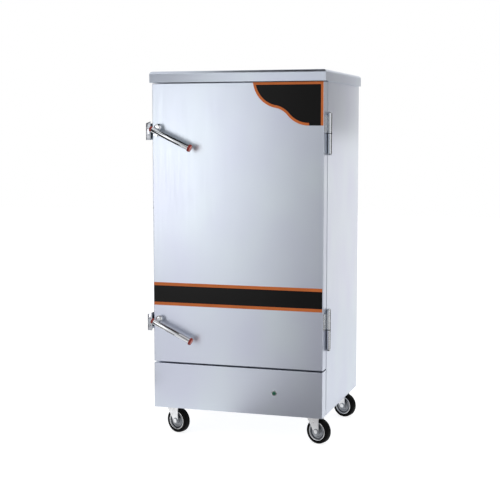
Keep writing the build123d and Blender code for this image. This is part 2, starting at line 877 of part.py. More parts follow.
def caster_bolts():
    low = base_bottom - plate_thickness
    bolts = []
    for name, x, y in caster_places():
        for u, v in bolt_places():
            bolt = rod_z(x + u, y + v, (low, base_bottom), bolt_radius)
            bolts.append(bolt + rod_z(x + u, y + v, (low - bolt_head_length, low), bolt_head_radius))
    return bolts


def caster_fork():
    """The crown under the swivel race, two cheeks that lean to the axle, and the axle."""
    race = rod_z(0, 0, (crown_top, base_bottom - plate_thickness - part_gap), race_radius)
    lead = math.atan2(crown_top - wheel_radius, -fork_lead - caster_trail)
    away = math.hypot(crown_top - wheel_radius, fork_lead + caster_trail)
    turn = lead + math.acos(fork_end_radius / away)
    touch = (caster_trail + fork_end_radius * math.cos(turn), wheel_radius + fork_end_radius * math.sin(turn))
    rear = caster_trail + fork_end_radius
    side = Polygon((-fork_lead, crown_top), (rear, crown_top), (rear, wheel_radius), touch, align=None)
    side += Pos(caster_trail, wheel_radius) * Circle(fork_end_radius)
    outer = Rot(90, 0, 0) * extrude(side, fork_half, both=True)
    inner_half = fork_half - fork_sheet
    reach = caster_trail + wheel_radius
    fork = outer - span((-reach, reach), (-inner_half, inner_half), (0, crown_bottom))
    fork += race + rod_z(0, 0, (crown_bottom, crown_top), crown_radius)
    fork -= rod_y(caster_trail, (-reach, reach), wheel_radius, axle_radius)
    fork -= rod_z(0, 0, (crown_bottom - 1, base_bottom), kingpin_radius + running_gap)
    axle = rod_y(caster_trail, (-fork_half, fork_half), wheel_radius, axle_radius)
    for sign in (-1, 1):
        head = sorted((sign * fork_half, sign * (fork_half + axle_head_length)))
        axle += rod_y(caster_trail, head, wheel_radius, axle_head_radius)
    return [fork, axle]


def caster_rim():
    """A pressed wheel centre: hub, web and the well that the tyre sits in."""
    def disc(radius, width):
        return rod_y(caster_trail, (-width / 2, width / 2), wheel_radius, radius)
    rim = disc(tyre_inner_radius, rim_width) - disc(rim_well_radius, rim_width + 1)
    rim += disc(rim_well_radius, web_thickness) + disc(hub_radius, hub_width)
    return rim - disc(axle_radius + running_gap, hub_width + 1)


def caster_tyre():
    tyre = rod_y(caster_trail, (-tyre_width / 2, tyre_width / 2), wheel_radius, wheel_radius)
    tyre = fillet(tyre.edges().filter_by(GeomType.CIRCLE), tyre_round)
    return tyre - rod_y(caster_trail, (-tyre_width, tyre_width), wheel_radius, tyre_inner_radius)


# Screws

def screw():
    """A pan head and its shank, along Y with the head to the front."""
    head = rod_y(0, (-screw_head_length, 0), 0, screw_head_radius)
    head = fillet(edges_at(head, Axis.Y, -screw_head_length), screw_head_length / 2)
    return head + rod_y(0, (0, sheet), 0, screw_radius)


def casing_screws():
    """Screws on the strikes' lips and down the back panel's sides."""
    screws = [Pos(lip_x, lip_back - strike_sheet, z) * screw() for z in lip_screw_heights()]
    return screws + [Pos(x, back, z) * Rot(0, 0, 180) * screw() for x, z in back_screw_places()]


# Places that the pieces share
vent_height = chamber_roof - vent_drop
mouth_x = (-half_width + frame_bar_side, half_width - frame_bar_side)
mouth_z = (panel_top + frame_bar_bottom, cap_bottom - frame_bar_top)
liner_outer = ((-chamber_half - sheet, chamber_half + sheet), (frame_back, chamber_back + sheet),
               (chamber_floor - sheet, chamber_roof + sheet))
runner_front = frame_back + runner_inset
floor_opening_x = (-tank_half + floor_opening_margin, tank_half - floor_opening_margin)
floor_opening_y = (tank_front + floor_opening_margin, tank_back - floor_opening_margin)
element_z = tank_bottom + element_height
supply_height = tank_top - supply_drop
supply_z = (supply_height - valve_block / 2, supply_height + valve_block / 2)
float_pivot_y = tank_back - sheet - valve_block / 2
drain_height = tank_bottom + drain_rise
drain_body_y = (back + drain_body_gap, back + drain_body_gap + drain_body_length)
drain_stem_y = back + drain_body_gap + drain_body_length / 2
drain_stem_top = drain_height + drain_body_radius + drain_stem_height
gland_height = skirt + gland_rise
gland_cable_radius = gland_bore - sheet
box_x = (box_side, box_side + box_width)
box_y = (frame_back + box_set_back, frame_back + box_set_back + box_depth)
band_half = half_width - face_edge_radius
hub_front = latch_stand_off - latch_tube_radius
lip_x = -half_width - (strike_reach + strike_side_gap) / 2
lip_back = -latch_stud_flange - part_gap - tongue_thickness - strike_lock_gap
crown_top = base_bottom - plate_thickness - part_gap - race_height
crown_bottom = crown_top - crown_sheet
fork_half = hub_width / 2 + fork_cheek_gap + fork_sheet

pieces = {
    "top_cap": top_cap(),
    "side_panel_left": side_panel(-1),
    "side_panel_right": side_panel(1),
    "back_panel": back_panel(),
    "front_frame": front_frame(),
    "base_pan": base_pan(),
    "lower_front_panel": lower_front_panel(),
    "panel_brackets": panel_brackets(),
    "insulation": insulation(),
    "chamber_liner": chamber_liner(),
    "tray_uprights": tray_uprights(),
    "tray_runners": tray_runners(),
    "steam_baffle": steam_baffle(),
    "water_tank": water_tank(),
    "heating_elements": heating_elements(),
    "water_inlet": water_inlet(),
    "float_valve": float_valve(),
    "float_arm": float_arm(),
    "drain_valve": drain_valve(),
    "drain_lever": drain_lever(),
    "vent_pipe": vent_pipe(),
    "cable_gland": cable_gland(),
    "electrical_box": electrical_box(),
    "switchgear": switchgear(),
    "indicator_bezel": indicator_bezel(),
    "indicator_lens": indicator_lens(),
    "door_shell": door_shell(),
    "door_liner": door_liner(),
    "door_foam": door_foam(),
    "door_gasket": door_gasket(),
    "stripe_band": stripe_band(),
    "stripe_trim": stripe_trim(),
    "badge_panel": badge_panel(),
    "badge_trim": badge_trim(),
    "hinge_door_leaves": hinge_door_leaves(),
    "hinge_body_leaves": hinge_body_leaves(),
    "hinge_pins": hinge_pins(),
    "latch_studs": latch_studs(),
    "strikes": strikes(),
    "casing_screws": casing_screws(),
    "caster_plates": caster_plates(),
    "caster_bolts": caster_bolts(),
}
for name, height in (("upper", latch_upper_height), ("lower", latch_lower_height)):
    pieces[f"latch_hub_{name}"] = latch_hub(height)
    pieces[f"latch_tube_{name}"] = latch_tube(height)
    pieces[f"latch_caps_{name}"] = latch_caps(height)
for name, x, y in caster_places():
    pieces[f"fork_{name}"] = [at_caster(x, y) * solid for solid in caster_fork()]
    pieces[f"rim_{name}"] = at_caster(x, y) * caster_rim()
    pieces[f"tyre_{name}"] = at_caster(x, y) * caster_tyre()

os.makedirs("parts", exist_ok=True)
for name, shape in pieces.items():
    solids = shape if isinstance(shape, list) else [shape]
    whole = Compound(children=[Pos(0, -middle_depth, 0) * solid for solid in solids])
    export_step(whole, f"parts/{name}.step")
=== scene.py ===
"""Looks of a free-standing electric steaming cabinet on casters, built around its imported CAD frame.

Everything is in metres, in the frame's own axes: X to the right, Y to the back, Z up from the floor.
"""

import json
import math

import bmesh
import bpy
from bpy.props import FloatProperty, FloatVectorProperty, PointerProperty
from mathutils import Matrix, Vector

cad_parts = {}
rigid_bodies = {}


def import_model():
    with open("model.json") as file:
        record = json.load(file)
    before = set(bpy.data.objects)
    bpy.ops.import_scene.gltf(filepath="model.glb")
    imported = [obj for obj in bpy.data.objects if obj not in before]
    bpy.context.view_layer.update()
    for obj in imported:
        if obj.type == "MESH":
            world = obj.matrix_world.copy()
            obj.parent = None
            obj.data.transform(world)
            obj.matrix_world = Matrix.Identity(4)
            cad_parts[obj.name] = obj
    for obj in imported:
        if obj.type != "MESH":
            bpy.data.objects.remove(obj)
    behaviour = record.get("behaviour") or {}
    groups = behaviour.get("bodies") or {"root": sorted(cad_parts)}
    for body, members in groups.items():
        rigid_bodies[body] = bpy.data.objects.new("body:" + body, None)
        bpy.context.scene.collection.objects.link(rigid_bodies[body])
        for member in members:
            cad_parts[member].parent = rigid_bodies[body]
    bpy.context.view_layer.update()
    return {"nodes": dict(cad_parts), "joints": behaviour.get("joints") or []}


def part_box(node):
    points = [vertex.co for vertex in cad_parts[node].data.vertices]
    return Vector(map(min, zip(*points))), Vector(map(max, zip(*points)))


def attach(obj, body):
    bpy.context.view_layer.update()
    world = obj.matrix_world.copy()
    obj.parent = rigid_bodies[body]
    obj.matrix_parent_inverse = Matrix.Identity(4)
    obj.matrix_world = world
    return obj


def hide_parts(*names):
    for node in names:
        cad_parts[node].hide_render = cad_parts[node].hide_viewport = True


bl_info = {
    "name": "Steaming Cabinet",
    "version": (1, 0, 0),
    "blender": (4, 5, 0),
    "location": "3D View > Sidebar > Cabinet",
    "description": "Dresses the frame of an electric steaming cabinet with its finishes and detailed pieces",
    "category": "Object",
}

for leftover in list(bpy.data.objects):
    bpy.data.objects.remove(leftover)
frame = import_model()
joints = {joint["name"]: joint for joint in frame["joints"]}

MM = 0.001
CASTERS = ("front_left", "front_right", "rear_left", "rear_right")
LATCHES = ("upper", "lower")

# Sizes of the detailed pieces, in millimetres and radians

# Latch handles: the tube's radii, its ends along the bar, the bar's lean, and how far the bar stands out from
# the door and below the latch's pivot
TUBE_RADIUS, TUBE_BORE = 11, 9.5
TUBE_NEAR, TUBE_FAR = -11, 157
BAR_LEAN = math.radians(25)
BAR_REACH = 38
BAR_DROP = 13.5
# The pale disc on each far cap's domed end is a painted highlight, drawn in a paler copy of the red
HIGHLIGHT_DISC_HEIGHT, HIGHLIGHT_DISC_RADIUS = 165.1, 12.2  # the far cap is pale beyond this height and within this radius

# Strike hooks: thickness of the sheet, depth between the middles of its two walls, how far it reaches below
# and above the latch's pivot, and the fall of its slanted top
STRIKE_SHEET = 3
STRIKE_DEPTH = 81.8
STRIKE_BELOW, STRIKE_ABOVE = 49, 25
STRIKE_FALL = 9

# Screws: height of the head, radius of the shank, half the width and the reach of the cross, and its turn
SCREW_HEAD = 2.5
SCREW_SHANK = 2.5
SCREW_CROSS = (0.55, 2.2)
SCREW_TURN = 0.4

# Axle ends of the casters: radii of the washer and of the hexagon's corners, heights from the wheel's middle
WASHER_RADIUS, NUT_RADIUS = 11.5, 8.6
WASHER_FOOT, WASHER_TOP = 19.4, 20.6
NUT_SEAT, NUT_HEIGHT = 20.5, 3

# Profiles of turned pieces, as (radius, height) points. The two of the wheels are mirrored at height 0.
FAR_CAP = ((0, 143), (TUBE_BORE, 143), (TUBE_BORE, TUBE_FAR), (15, TUBE_FAR), (15, 162), (14.4, 165),
           (13.6, 166), (12.8, 165), (8, 166.6), (0, 167))
NEAR_CAP = ((0, 3), (TUBE_BORE, 3), (TUBE_BORE, TUBE_NEAR), (TUBE_RADIUS, TUBE_NEAR), (TUBE_RADIUS, -18),
            (9.5, -20.5), (7.5, -21), (0, -21))
RIM_SIDE = ((36.6, 13), (36.2, 14.4), (35.2, 15), (34, 14.6), (33.2, 13.2), (32.8, 9), (32.4, 4.6),
            (31.4, 3.2), (30, 3), (28.8, 4), (27.6, 7.6), (26, 9.6), (24, 10), (21, 8.6), (17, 7.4),
            (14.4, 8.4), (13, 11.5), (13, 15), (12, 16), (6.1, 16))
# The rim is drawn in two tones: its outer lip in the pale zinc of the forks, a painted highlight, and the
# rest in the darker wheel zinc
LIP_HIGHLIGHT_RADIUS = 32.9  # the rim is bright outside this radius
TYRE_SIDE = ((36, 13.2), (37.2, 14.6), (38.8, 15), (40.4, 15), (41.2, 14.2), (42.4, 14.2), (43.2, 15),
             (46.6, 14.4), (48.6, 12.6), (49.6, 10), (50, 6.5), (50, 0))

# Studio cards: name, place in metres, the axis that the card faces, its size and its shade. A shade above 1
# is brighter than the background.
CARDS = (
    ("card_highlight", (-1.8, -3.3, 0.95), "y", (1.15, 1.0), 2.9),
    ("card_front_right", (0.1, -1.81, 0.9), "y", (0.75, 1.7), 0.33),
    ("card_floor_right", (0.65, -1.7, 0.004), "z", (1.5, 2.6), 0.26),
    ("card_floor_front", (-0.7, -2.9, 0.002), "z", (2.6, 2.0), 0.78),
    ("card_low_left", (-0.63, -0.45, 0.16), "z", (0.4, 0.2), 0.01),
    ("card_floor_far", (-1.45, -0.65, 0.006), "z", (0.9, 1.9), 0.02),
    ("card_floor_left", (-0.55, -1.15, 0.003), "z", (1.0, 0.9), 1.0),
    ("card_ceiling_left", (0.0, -0.85, 2.4), "z", (0.9, 2.3), 0.01),
    ("card_ceiling", (1.1, -0.9, 2.41), "z", (1.2, 3.0), 0.8),
    ("card_cap", (-1.25, -1.81, 2.1), "y", (1.1, 0.75), 0.04),
    ("card_back_low", (1.15, 3.2, 0.7), "y", (1.6, 1.8), 1.25),
    ("card_back_right", (1.25, 1.0, 1.56), "y", (1.3, 0.72), 0.32),
    ("card_far_right", (1.7, 0.68, 1.0), "x", (2.0, 2.5), 0.02),
    ("card_near_left", (-0.8, -0.7, 0.95), "x", (1.1, 0.56), 0.02),
    ("card_far_left", (-2.5, -1.7, 0.85), "x", (1.7, 2.2), 0.05),
)


# Helpers for colours, nodes and materials

def linear(code):
    """An sRGB hex colour as linear red, green and blue."""
    parts = [int(code[place:place + 2], 16) / 255 for place in (1, 3, 5)]
    return tuple(part / 12.92 if part <= 0.04045 else ((part + 0.055) / 1.055) ** 2.4 for part in parts)


def add(tree, kind, inputs=None, **settings):
    """Adds a shader node with its settings; an input is given a value or the socket that feeds it."""
    node = tree.nodes.new("ShaderNode" + kind)
    for key, value in settings.items():
        setattr(node, key, value)
    for key, value in (inputs or {}).items():
        if isinstance(value, bpy.types.NodeSocket):
            tree.links.new(value, node.inputs[key])
        else:
            node.inputs[key].default_value = value
    return node


def surface(name, colour, roughness, metallic=0.0, **sockets):
    """Starts a material, and returns it with its node tree, its shader and the object's own coordinates."""
    material = bpy.data.materials.new(name)
    material.use_nodes = True
    tree = material.node_tree
    tree.nodes.clear()
    basic = {"Base Color": (*colour, 1), "Roughness": roughness, "Metallic": metallic, **sockets}
    shader = add(tree, "BsdfPrincipled", basic)
    add(tree, "OutputMaterial", {"Surface": shader.outputs["BSDF"]})
    place = add(tree, "TexCoord").outputs["Object"]
    return material, tree, shader, place


def noise(tree, place, size_mm, stretch=(1, 1, 1), detail=2.0, roughness=0.5):
    """A noise pattern whose cells are about size_mm wide, and longer along the axes that stretch names."""
    scale = [1 / (size_mm * MM * longer) for longer in stretch]
    mapped = add(tree, "Mapping", {"Vector": place, "Scale": scale})
    settings = {"Vector": mapped.outputs[0], "Scale": 1.0, "Detail": detail, "Roughness": roughness}
    return add(tree, "TexNoise", settings).outputs["Fac"]


def spread(tree, value, low, high, start=0.3, end=0.7):
    """Maps the pattern's middle range to low and high."""
    limits = {"Value": value, "From Min": start, "From Max": end, "To Min": low, "To Max": high}
    return add(tree, "MapRange", limits).outputs[0]


def tinted(tree, factor, first, second):
    """A colour that goes from the first to the second as the factor goes from 0 to 1."""
    return add(tree, "MixRGB", {"Fac": factor, "Color1": (*first, 1), "Color2": (*second, 1)}).outputs[0]


def relief(tree, shader, height, depth_mm, strength=1.0, under=None):
    """Bump from a height pattern, on top of an earlier bump if there is one."""
    inputs = {"Height": height, "Distance": depth_mm * MM, "Strength": strength}
    if under is not None:
        inputs["Normal"] = under
    bump = add(tree, "Bump", inputs)
    tree.links.new(bump.outputs[0], shader.inputs["Normal"])
    return bump.outputs[0]


def feed(tree, shader, socket, value):
    """Links a value to one of the shader's sockets."""
    tree.links.new(value, shader.inputs[socket])


def mottled(tree, shader, pattern, first, second, start=0.3, end=0.7):
    """Lets the base colour go from the first to the second along a pattern."""
    feed(tree, shader, "Base Color", tinted(tree, spread(tree, pattern, 0, 1, start, end), first, second))


def worn(tree, shader, pattern, low, high):
    """Lets the roughness go from low to high along a pattern."""
    feed(tree, shader, "Roughness", spread(tree, pattern, low, high))


def shaded(colour, share):
    """The colour, darkened to this share."""
    return [part * share for part in colour]


# Sizes and colours that a user would change

def swatch(name, code, description):
    """A colour that a user can change, given as an sRGB hex code."""
    return FloatVectorProperty(name=name, description=description, subtype="COLOR", size=3, min=0, max=1,
                               default=linear(code))


def length(name, millimetres, description):
    """A length that a user can change, given in millimetres."""
    return FloatProperty(name=name, description=description, unit="LENGTH", min=0, default=millimetres * MM)


def angle(name, degrees, description):
    """An angle that a user can change, given in degrees."""
    return FloatProperty(name=name, description=description, subtype="ANGLE", default=math.radians(degrees))


def power(name, watts, description):
    """The power of a lamp, in watts."""
    return FloatProperty(name=name, description=description, unit="POWER", min=0, default=watts)


class CabinetColours(bpy.types.PropertyGroup):
    """Colours of the cabinet's finishes."""
    steel: swatch("Steel", "#CDD6DF", "Satin stainless sheet")
    steel_cloud: swatch("Steel, cloudy", "#C8CEDD", "The faint cooler tone in the satin sheet")
    bright: swatch("Bright steel", "#C9CCD0", "Drawn and pressed stainless fittings")
    strike: swatch("Strikes", "#AEB2B8", "Pressed strikes and screws")
    chrome: swatch("Chrome", "#CDD0D4", "Polished plating of the latch handles")
    orange: swatch("Orange", "#DB763C", "Border film")
    black: swatch("Black", "#101010", "Film of the band and the corner panel")
    red: swatch("Red", "#8E2A22", "Moulded end caps")
    # The paler red of each far cap's end disc is a painted highlight
    red_painted_highlight: swatch("Red, face", "#F59C90", "The lighter disc in each end cap")
    tyre: swatch("Tyre", "#060607", "Caster rubber")
    zinc: swatch("Zinc", "#F2F3F5", "Plated steel of the casters' forks")
    wheel: swatch("Wheel", "#94979C", "Plated steel of the casters' wheels")
    seal: swatch("Seal", "#47494D", "Silicone door seal")
    foam: swatch("Foam", "#D9CC9A", "Rigid insulation")
    brass: swatch("Brass", "#BE9A52", "Turned brass fittings")
    float_shell: swatch("Float", "#E4E2DA", "Moulded float and its arm")
    lever: swatch("Lever", "#1E3F86", "Vinyl coat of the drain lever")
    dark_plastic: swatch("Dark plastic", "#1C1D1F", "Gland and switchgear")
    lamp: swatch("Lamp", "#0B5A44", "Lens of the indicator lamp")


class CabinetSizes(bpy.types.PropertyGroup):
    """Sizes in the satin finish."""
    grain_width: length("Grain width", 1.4, "Width of one ground line, coarse enough to show")
    grain_length: length("Grain length", 180, "Length of one ground line")
    cloud_size: length("Cloud size", 190, "Size of the faint tones in the sheet")


class CabinetStudio(bpy.types.PropertyGroup):
    """Camera and light."""
    lens: FloatProperty(name="Lens", description="Focal length on a 36 mm sensor", subtype="DISTANCE_CAMERA",
                        default=83.55)
    yaw: angle("Yaw", 17.443, "Turn of the camera about the vertical")
    pitch: angle("Pitch", 5.829, "How far the camera looks down")
    camera_place: FloatVectorProperty(name="Camera place", description="Where the camera stands",
                                      unit="LENGTH", size=3, default=(1.4074, -4.609, 1.2195))
    key_power: power("Key power", 12.0, "Power of the large soft light at the front left")
    fill_power: power("Fill power", 8.0, "Power of the soft light at the right")
    sky: FloatProperty(name="Sky", description="Strength of the world's light on the object", default=0.75)


# Materials

def satin_steel(name="satin_stainless_sheet", lean=0.0, dull=0.3):
    """AISI 430 stainless sheet, ground with a fine belt.

    The eye sees soft, blurred reflections, faint lines along the grain and a slightly cloudy, cool tone.
    A lean, in degrees, tilts the shading of an upright sheet, and dull is the roughness along the grain.
    """
    colours = bpy.context.scene.cabinet_colours
    sizes = bpy.context.scene.cabinet_sizes
    material, tree, shader, place = surface(name, colours.steel, dull, 1.0)
    stretch = (1, 1, sizes.grain_length / sizes.grain_width)
    grain = noise(tree, place, sizes.grain_width / MM, stretch, detail=3.0, roughness=0.6)
    cloud = noise(tree, place, sizes.cloud_size / MM, (1, 1, 1.4), detail=1.0)
    mottled(tree, shader, cloud, colours.steel, colours.steel_cloud)
    worn(tree, shader, grain, dull, dull + 0.08)
    buckle = noise(tree, place, 420, detail=0.0)
    under = relief(tree, shader, buckle, 1.2)
    if lean:
        height = add(tree, "SeparateXYZ", {0: place}).outputs["Z"]
        under = relief(tree, shader, height, math.tan(math.radians(lean)) / MM, 1.0, under)
    relief(tree, shader, grain, 0.004, 0.5, under)
    return material


def bright_steel(name, colour):
    """AISI 304 stainless, drawn and tumbled: sharper reflections than the sheet, with handling marks."""
    material, tree, shader, place = surface(name, colour, 0.18, 1.0)
    marks = noise(tree, place, 6, (1, 1, 2), detail=4.0)
    worn(tree, shader, marks, 0.14, 0.26)
    relief(tree, shader, marks, 0.02, 0.3)
    return material


def chrome_plate():
    """Polished chromium on steel tube: mirror reflections with a slight smear."""
    colours = bpy.context.scene.cabinet_colours
    material, tree, shader, place = surface("polished_chrome_plate", colours.chrome, 0.06, 1.0)
    smear = noise(tree, place, 25, detail=3.0)
    worn(tree, shader, smear, 0.04, 0.1)
    return material


def vinyl_film(name, colour, roughness):
    """Cast vinyl film with a gloss face: an even colour with a very slight orange-peel texture."""
    material, tree, shader, place = surface(name, colour, roughness, **{"Specular IOR Level": 0.15})
    peel = noise(tree, place, 2.2)
    tone = noise(tree, place, 60)
    mottled(tree, shader, tone, colour, shaded(colour, 0.86))
    relief(tree, shader, peel, 0.01, 0.4)
    return material


def moulded_plastic(name, colour, roughness, grain_mm=0.8, **sockets):
    """Injection-moulded plastic: an even colour with the mould's fine spark texture."""
    material, tree, shader, place = surface(name, colour, roughness, IOR=1.5, **sockets)
    spark = noise(tree, place, grain_mm)
    tone = noise(tree, place, 14)
    paler = [min(1, part * 1.15 + 0.004) for part in colour]
    mottled(tree, shader, tone, colour, paler)
    worn(tree, shader, spark, roughness * 0.85, roughness * 1.2)
    relief(tree, shader, spark, 0.02, 0.3)
    return material


def zinc_plate(name, colour):
    """Bright zinc on pressed steel: pale, slightly mottled, half matt."""
    material, tree, shader, place = surface(name, colour, 0.32, 1.0)
    mottle = noise(tree, place, 9, detail=5.0, roughness=0.6)
    mottled(tree, shader, mottle, colour, shaded(colour, 0.86))
    worn(tree, shader, mottle, 0.26, 0.42)
    return material


def tyre_rubber():
    """Black vulcanised rubber: dull, with dust in its fine texture."""
    colours = bpy.context.scene.cabinet_colours
    dull = {"Specular IOR Level": 0.08}
    material, tree, shader, place = surface("vulcanised_rubber", colours.tyre, 0.5, **dull)
    dust = noise(tree, place, 5, detail=5.0, roughness=0.7)
    dusty = [part + 0.006 for part in colours.tyre]
    mottled(tree, shader, dust, colours.tyre, dusty, 0.5, 0.8)
    worn(tree, shader, dust, 0.48, 0.66)
    relief(tree, shader, dust, 0.05, 0.4)
    return material


def silicone():
    """Grey silicone extrusion: soft gloss with a faint ripple."""
    colours = bpy.context.scene.cabinet_colours
    material, tree, shader, place = surface("silicone_seal", colours.seal, 0.42, IOR=1.41)
    ripple = noise(tree, place, 12)
    mottled(tree, shader, ripple, colours.seal, shaded(colours.seal, 0.88))
    relief(tree, shader, ripple, 0.05, 0.4)
    return material


def rigid_foam():
    """Poured polyurethane foam: pale yellow with open cells."""
    colours = bpy.context.scene.cabinet_colours
    material, tree, shader, place = surface("polyurethane_foam", colours.foam, 0.9)
    cells = add(tree, "TexVoronoi", {"Vector": place, "Scale": 1 / (3 * MM)}).outputs["Distance"]
    # The colour darkens towards the middle of each cell, where the bump sinks: painted shade in the cells
    feed(tree, shader, "Base Color", tinted(tree, cells, shaded(colours.foam, 0.7), colours.foam))
    relief(tree, shader, cells, 0.6, 0.6)
    return material


def turned_brass():
    """Free-cutting brass off the lathe: warm metal with fine turning marks."""
    colours = bpy.context.scene.cabinet_colours
    material, tree, shader, place = surface("turned_brass", colours.brass, 0.25, 1.0)
    rings = noise(tree, place, 0.9, (60, 1, 60))
    tarnish = noise(tree, place, 15, detail=4.0)
    mottled(tree, shader, tarnish, colours.brass, shaded(colours.brass, 0.7))
    worn(tree, shader, tarnish, 0.2, 0.4)
    relief(tree, shader, rings, 0.01, 0.4)
    return material


def dress(material, *nodes):
    """Gives CAD nodes a finish."""
    for name in nodes:
        slots = frame["nodes"][name].data.materials
        slots.clear()
        slots.append(material)


# Helpers for the detailed pieces. A piece is drawn in millimetres and scaled when it is placed.

def along(axis, place, tilt=0.0):
    """The frame of a turned piece: its local Z lies along the axis, at the place in millimetres."""
    turns = {"y": Matrix.Rotation(-math.pi / 2, 4, "X"), "-y": Matrix.Rotation(math.pi / 2, 4, "X"),
             "z": Matrix.Identity(4), "-z": Matrix.Rotation(math.pi, 4, "X")}
    return Matrix.Translation(place) @ turns[axis] @ Matrix.Rotation(tilt, 4, "Z")


def turned(profile, closed=False, steps=64):
    """Spins a profile of (radius, height) points round the local Z axis into a closed mesh."""
    bm = bmesh.new()
    points = [bm.verts.new((radius, 0, height)) for radius, height in profile]
    pairs = list(zip(points, points[1:]))
    if closed:
        pairs.append((points[-1], points[0]))
    wires = [bm.edges.new(pair) for pair in pairs]
    bmesh.ops.spin(bm, geom=points + wires, cent=(0, 0, 0), axis=(0, 0, 1), angle=math.tau, steps=steps,
                   use_merge=True)
    tidy(bm)
    return bm


def plate(outline, thickness):
    """A flat plate with this outline in the local XY plane, from Z 0 to its thickness."""
    bm = bmesh.new()
    face = bm.faces.new([bm.verts.new((x, y, 0)) for x, y in outline])
    made = bmesh.ops.extrude_face_region(bm, geom=[face])
    moved = [item for item in made["geom"] if isinstance(item, bmesh.types.BMVert)]
    bmesh.ops.translate(bm, vec=(0, 0, thickness), verts=moved)
    tidy(bm)
    return bm


def both_sides(side):
    """A profile that goes along one side of a wheel, and back along its mirror image at negative heights."""
    return [*side, *((radius, -height) for radius, height in reversed(side) if height)]


def tidy(bm):
    """Merges doubles and turns every face outward."""
    bmesh.ops.remove_doubles(bm, verts=bm.verts, dist=1e-4)
    bmesh.ops.dissolve_degenerate(bm, dist=1e-5, edges=bm.edges)
    bmesh.ops.recalc_face_normals(bm, faces=bm.faces)


def round_edges(bm, radius, steps=3, least=30):
    """Rounds every edge whose faces meet at more than this many degrees."""
    limit = math.radians(least)
    sharp = [edge for edge in bm.edges if edge.is_manifold and edge.calc_face_angle(0) > limit]
    bmesh.ops.bevel(bm, geom=sharp, offset=radius, offset_type="OFFSET", segments=steps, profile=0.5,
                    affect="EDGES", clamp_overlap=True, material=-1)
    tidy(bm)


def join(bm, other, place=None):
    """Adds another mesh to this one, at a place of its own."""
    if place is not None:
        bmesh.ops.transform(other, matrix=place, verts=other.verts)
    copy = bpy.data.meshes.new("joined")
    other.to_mesh(copy)
    other.free()
    bm.from_mesh(copy)
    bpy.data.meshes.remove(copy)


def piece(name, bm, materials, body, replaced=(), place=None, smooth=40):
    """Makes an object of a mesh drawn in millimetres, and fixes it to its body."""
    if place is not None:
        bmesh.ops.transform(bm, matrix=place, verts=bm.verts)
    bmesh.ops.scale(bm, vec=(MM, MM, MM), verts=bm.verts)
    mesh = bpy.data.meshes.new(name)
    bm.to_mesh(mesh)
    bm.free()
    mesh.shade_smooth()
    mesh.set_sharp_from_angle(angle=math.radians(smooth))
    for material in materials if isinstance(materials, (list, tuple)) else [materials]:
        mesh.materials.append(material)
    made = bpy.data.objects.new(name, mesh)
    bpy.context.scene.collection.objects.link(made)
    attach(made, body)
    if replaced:
        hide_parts(*replaced)
    return made


def solid_boxes(node):
    """The low and high corner, in millimetres, of each separate solid in a CAD node."""
    bm = bmesh.new()
    bm.from_mesh(frame["nodes"][node].data)
    bmesh.ops.remove_doubles(bm, verts=bm.verts, dist=1e-6)
    left = set(bm.verts)
    boxes = []
    while left:
        stack = [left.pop()]
        seen = list(stack)
        while stack:
            for edge in stack.pop().link_edges:
                for vert in edge.verts:
                    if vert in left:
                        left.remove(vert)
                        stack.append(vert)
                        seen.append(vert)
        places = [vert.co / MM for vert in seen]
        boxes.append((Vector([min(p[k] for p in places) for k in range(3)]),
                      Vector([max(p[k] for p in places) for k in range(3)])))
    bm.free()
    return boxes


def low_high(node):
    """A CAD node's low and high corner in millimetres."""
    low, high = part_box(node)
    return low / MM, high / MM


def pan_head(radius, height, recess):
    """The head of a pan-head screw, up along Z from 0. Its cross has this half width and reach."""
    outline = [(0, 0), (radius, 0), (radius, height * 0.45), (radius * 0.72, height), (0, height)]
    bm = turned(outline, steps=32)
    round_edges(bm, height * 0.25, 3)
    top = [face for face in bm.faces if face.normal.z > 0.999 and face.calc_center_median().z > height * 0.9]
    bmesh.ops.dissolve_faces(bm, faces=top)
    half, reach = recess
    for axis in ((1, 0, 0), (0, 1, 0)):
        for place in (-reach, -half, half, reach):
            bmesh.ops.bisect_plane(bm, geom=bm.verts[:] + bm.edges[:] + bm.faces[:],
                                   plane_co=Vector(axis) * place, plane_no=axis)
    cross = []
    for face in bm.faces:
        centre = face.calc_center_median()
        short, long = sorted((abs(centre.x), abs(centre.y)))
        if face.normal.z > 0.999 and centre.z > height * 0.9 and short < half and long < reach:
            cross.append(face)
    made = bmesh.ops.extrude_face_region(bm, geom=cross)
    bmesh.ops.delete(bm, geom=cross, context="FACES")
    sunk = [item for item in made["geom"] if isinstance(item, bmesh.types.BMVert)]
    bmesh.ops.translate(bm, vec=(0, 0, -height * 0.55), verts=sunk)
    tidy(bm)
    return bm


# Operators, one for each group of pieces

class CABINET_OT_casing(bpy.types.Operator):
    """Cap, side panels, back, lower front panel and the frame round the mouth"""
    bl_idname = "cabinet.casing"
    bl_label = "Casing"

    def execute(self, context):
        steel = satin_steel()
        dress(satin_steel("satin_stainless_cap", lean=-8), "top_cap")
        dress(steel, "side_panel_left", "side_panel_right", "back_panel", "front_frame", "base_pan",
              "lower_front_panel", "panel_brackets")
        dress(rigid_foam(), "insulation")
        return {"FINISHED"}


class CABINET_OT_door(bpy.types.Operator):
    """Door shell, liner, foam and seal"""
    bl_idname = "cabinet.door"
    bl_label = "Door"

    def execute(self, context):
        dress(satin_steel("satin_stainless_door", dull=0.32), "door_shell", "door_liner")
        dress(rigid_foam(), "door_foam")
        dress(silicone(), "door_gasket")
        return {"FINISHED"}


class CABINET_OT_trim(bpy.types.Operator):
    """The band across the door and the corner panel, with their borders"""
    bl_idname = "cabinet.trim"
    bl_label = "Door trim"

    def execute(self, context):
        colours = context.scene.cabinet_colours
        dress(vinyl_film("black_vinyl_film", colours.black, 0.28), "stripe_band", "badge_panel")
        dress(vinyl_film("orange_vinyl_film", colours.orange, 0.35), "stripe_trim", "badge_trim")
        return {"FINISHED"}


